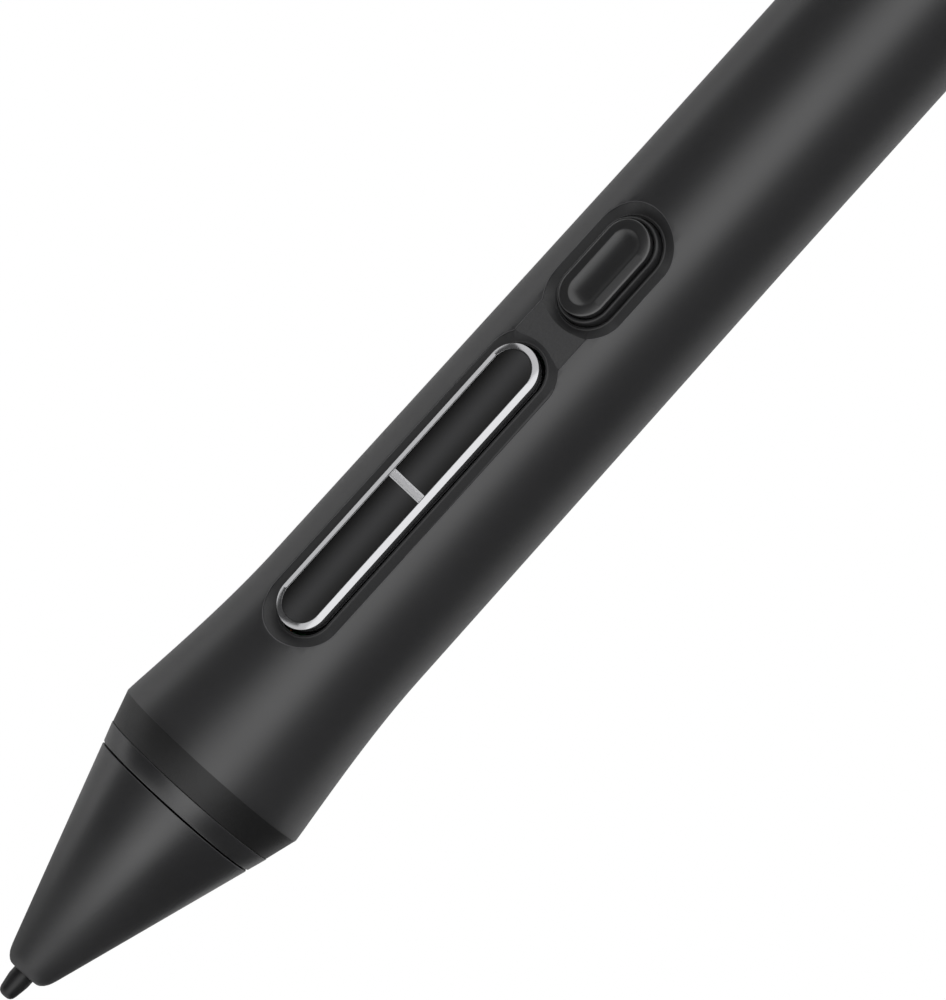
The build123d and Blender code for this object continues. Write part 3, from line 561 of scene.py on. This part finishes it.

# Rocker pads
# Two hard pads fill the frame on each side of the divider, pressed on to the carrier below. They
# are moulded with a fine matte texture, which shows no reflections. Their colour is painted paler
# along the middle, as a highlight, and darker along their sides, as shade.
pad_plastic = moulded("black moulded plastic, fine matte", "#1b1b1c",
                      roughness=0.52, gloss=0.3, grain=0.08, depth=0.3)
half_pad = 1.45
pad_tree = pad_plastic.node_tree
pad_place = add_node(pad_tree, "ShaderNodeTexCoord")
pad_split = add_node(pad_tree, "ShaderNodeSeparateXYZ", {}, {0: (pad_place, "Object")})
across = add_node(pad_tree, "ShaderNodeMapRange", {
    "From Min": -half_pad * mm, "From Max": half_pad * mm}, {"Value": (pad_split, "X")})
# Painted highlight and shade: the colour runs from darker at the sides to paler in the middle.
painted_sheen = add_node(pad_tree, "ShaderNodeValToRGB", {}, {"Fac": (across, "Result")})
painted_sheen.color_ramp.interpolation = "EASE"
painted_sheen.color_ramp.elements[0].color = colour("#101010")
painted_sheen.color_ramp.elements[1].color = colour("#1c1c1c")
painted_sheen.color_ramp.elements.new(0.52).color = colour("#3a3a3b")
pad_tree.links.new(painted_sheen.outputs["Color"], pad_tree.nodes["skin"].inputs["Base Color"])
half_divider = 0.345
for pad_name, cad_node, end in (("pad_front", "front_pad", -1), ("pad_rear", "rear_pad", 1)):
    pad = stretched(pad_name, rocker_centre, rocker_straight, [
        (1.455, 5.6), (1.455, 6.73), (1.45, 6.75), (1.42, 6.757), (1.0, 6.76), (0.5, 6.762),
        (0.02, 6.764)])
    bpy.ops.object.mode_set(mode="EDIT")
    bpy.ops.mesh.select_all(action="SELECT")
    bpy.ops.mesh.bisect(plane_co=(0, 0, (rocker_centre + end * half_divider) * mm),
                        plane_no=(0, 0, end), use_fill=True, clear_inner=True)
    bpy.ops.object.mode_set(mode="OBJECT")
    crown(pad, radius=20)
    soften(pad, width=0.03, edge_angle=40)
    fit(pad, pad_plastic, "rocker", "pad_plastic", cad_node)

# Upper button
# The button is a satin cap, a rounded rim round a finger dish, in a polished black skirt. Both
# are moulded plastic, pressed on to the plunger below.
button_straight = 2.02
cap_crown, dish_round, dish_bottom = 6.82, 2.66, 6.498
dish = []
for half_width in (1.04, 0.93, 0.8, 0.67, 0.54, 0.41, 0.28, 0.15, 0.02):
    # The crown lowers the cap's sides afterwards, so the dish is raised there by as much.
    hollow = dish_bottom + dish_round - sqrt(dish_round**2 - half_width**2)
    dish.append((half_width, hollow + cap_crown - sqrt(cap_crown**2 - half_width**2)))
cap = stretched("button_cap", button_centre, button_straight, [
    (1.79, 5.2), (1.79, 6.72), (1.785, 6.755), (1.77, 6.78), (1.74, 6.797), (1.7, 6.807),
    (1.66, 6.816), (1.62, 6.82), (1.14, 6.82), (1.09, 6.811), *dish])
crown(cap, cap_crown)
shade(cap, edge_angle=60)
# Satin, so the rim and the dish each carry one soft highlight.
cap_plastic = moulded("black moulded plastic, satin", "#1c1c1d",
                      roughness=0.3, gloss=1.0, grain=0.08, depth=0.12)
fit(cap, cap_plastic, "upper_button", "cap_plastic", "upper_cap")

skirt = stretched("button_skirt", button_centre, button_straight, [
    (2.16, 5.12), (2.16, 5.82), (2.145, 5.93), (2.1, 6.03), (2.03, 6.1), (1.95, 6.12),
    (1.88, 6.1), (1.835, 6.04), (1.82, 5.95), (1.81, 5.12)], joined=True)
shade(skirt, edge_angle=60)
# Almost free of grain, so the skirt's crest draws a clean thin line.
gloss_black = moulded("black moulded plastic, polished", "#242425",
                      roughness=0.36, gloss=0.5, grain=0.6, depth=0.02, uneven=0.02)
fit(skirt, gloss_black, "upper_button", "gloss_plastic", "upper_skirt")

# Rear barrel and tail cap
# The rear barrel is moulded in the same satin plastic as the cone, and is bonded over the inner
# barrel behind the grip. A round plug in the same plastic is pressed in and closes it.
rear = turned("rear_shell", [
    (shell_bore, 95.12), (6.2, 95.12), (4.95, 152), (3.9, 152), (3.9, 146.95), (4.1, 104.1),
    (shell_bore, 103.05)])
soften(rear, width=0.06)
fit(rear, satin_black, "barrel", "satin_plastic", "rear_barrel")

dome_radius, dome_foot, dome_rise = 4.72, 156.62, 3.38
dome = [(dome_radius * cos(radians(lift)), dome_foot + dome_rise * sin(radians(lift)))
        for lift in range(6, 90, 6)]
tail = turned("tail_plug", [
    (0.04, 152.12), (2.88, 152.12), (2.88, 147), (3.88, 147), (3.88, 152.12), (4.95, 152.12),
    (dome_radius, dome_foot), *dome, (0.04, 160)], shell=False)
soften(tail, width=0.06, edge_angle=30)
fit(tail, satin_black, "barrel", "satin_plastic", "tail_cap")


# Inside the pen
# None of this shows until the pen is opened. The barrel, the spine and the housings are plain
# mouldings, the board is green glass epoxy, and the rest is what such boards and coils carry.
def dress(made, *nodes):
    """Gives CAD nodes that keep their own shape a finish."""
    for node in nodes:
        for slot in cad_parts[node].material_slots:
            slot.material = made


# Plain mouldings, left as the mould made them: an even, half-matt skin.
dress(moulded("dark grey moulded plastic", "#56565a",
              roughness=0.5, gloss=0.5, grain=0.15, depth=0.3), "inner_barrel")
dress(moulded("black moulded plastic, plain", "#2b2b2d",
              roughness=0.5, gloss=0.5, grain=0.15, depth=0.3),
      "board_frame", "board_stop", "sensor_housing", "rocker_carrier", "upper_core")
dress(moulded("natural moulded plastic", "#e0dccf",
              roughness=0.45, gloss=0.5, grain=0.2, depth=0.2), "coil_former", "nib_holder")
dress(moulded("beige moulded plastic", "#cbc6b6",
              roughness=0.45, gloss=0.5, grain=0.1, depth=0.2), "upper_switch_button")
# The board's lacquer and the fired ceramics are smooth and shine more.
dress(moulded("green solder mask on glass epoxy", "#1f6b3c",
              roughness=0.3, gloss=0.5, grain=0.4, depth=0.1), "circuit_board")
dress(moulded("glazed capacitor ceramic", "#a8855a",
              roughness=0.3, gloss=0.5, grain=0.1, depth=0.1), "board_capacitors")
dress(moulded("silvered sensor ceramic", "#ded9cc",
              roughness=0.3, gloss=0.5, grain=0.1, depth=0.1), "pressure_sensor")
# Chip epoxy and sintered ferrite are matt and grainy, and the foam shows its small cells.
dress(moulded("moulded chip epoxy", "#2e2e2f",
              roughness=0.6, gloss=0.5, grain=0.06, depth=0.5), "controller_chip")
dress(moulded("sintered ferrite, dark grey", "#47474a",
              roughness=0.6, gloss=0.5, grain=0.08, depth=0.6), "ferrite_core")
dress(moulded("closed-cell foam", "#39393a",
              roughness=0.9, gloss=0.2, grain=0.25, depth=1.0), "board_cushion")


def metal(name, code, roughness, pitch):
    """Plain metal with fine lines round the pen's axis, as drawing, turning or winding leaves.

    The pitch is in mm. A wave texture of scale 1 repeats after about 0.314.
    """
    wave_repeat = 0.314
    roughness_spread = 0.12
    made = material(name)
    tree = made.node_tree
    where = add_node(tree, "ShaderNodeTexCoord")
    lines = add_node(tree, "ShaderNodeTexWave", {
        "bands_direction": "Z", "Scale": wave_repeat / (pitch * mm),
        "Distortion": 0.4, "Detail": 2.0}, {"Vector": (where, "Object")})
    relief = add_node(tree, "ShaderNodeBump", {"Strength": 0.4, "Distance": pitch * mm / 3},
                      {"Height": (lines, "Fac")})
    wear = add_node(tree, "ShaderNodeMapRange", {
        "To Min": roughness, "To Max": roughness + roughness_spread}, {"Value": (lines, "Fac")})
    skin = add_node(tree, "ShaderNodeBsdfPrincipled", {
        "Metallic": 1.0, "Base Color": colour(code)},
        {"Roughness": (wear, "Result"), "Normal": (relief, "Normal")})
    add_node(tree, "ShaderNodeOutputMaterial", {}, {"Surface": (skin, "BSDF")})
    return made


# Steel is a cool bright grey, brushed a little by its tools.
dress(metal("stamped steel switch cover", "#bdbdbf", roughness=0.28, pitch=0.12),
      "front_switch", "rear_switch", "upper_switch")
dress(metal("turned steel", "#b9b9bb", roughness=0.25, pitch=0.1), "rocker_pin", "board_screws")
# The enamelled wire is 0.1 mm thick, and each line is one turn of it.
dress(metal("enamelled copper wire", "#c9824f", roughness=0.3, pitch=0.1),
      "coil_winding", "coil_leads")

# Nib spring
# Four turns of drawn steel wire stand behind the nib holder's flange. They close up as the nib is
# pressed, and push it forward again.
wire_radius = 0.15 * mm
spring_radius = 1.6 * mm
spring_turns = 4
steps_per_turn = 48
spring_front, spring_rear = (corner[2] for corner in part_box("nib_spring"))
spring_length = spring_rear - spring_front
bpy.ops.object.select_all(action="DESELECT")
bpy.ops.mesh.primitive_circle_add(vertices=12, radius=wire_radius, rotation=(pi / 2, 0, 0),
                                  location=(spring_radius, 0, spring_front + wire_radius))
spring = place("nib_return_spring")
apply(spring, "SCREW", angle=2 * pi * spring_turns, screw_offset=spring_length - 2 * wire_radius,
      steps=steps_per_turn * spring_turns, render_steps=steps_per_turn * spring_turns)
bpy.ops.object.mode_set(mode="EDIT")
close_ends(joined=False)
shade(spring)
# Drawn wire is bright, with fine lines left by the die.
spring_steel = metal("drawn spring wire", "#adadaf", roughness=0.3, pitch=0.05)
fit(spring, spring_steel, "barrel", "spring_steel", "nib_spring")
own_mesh(spring)
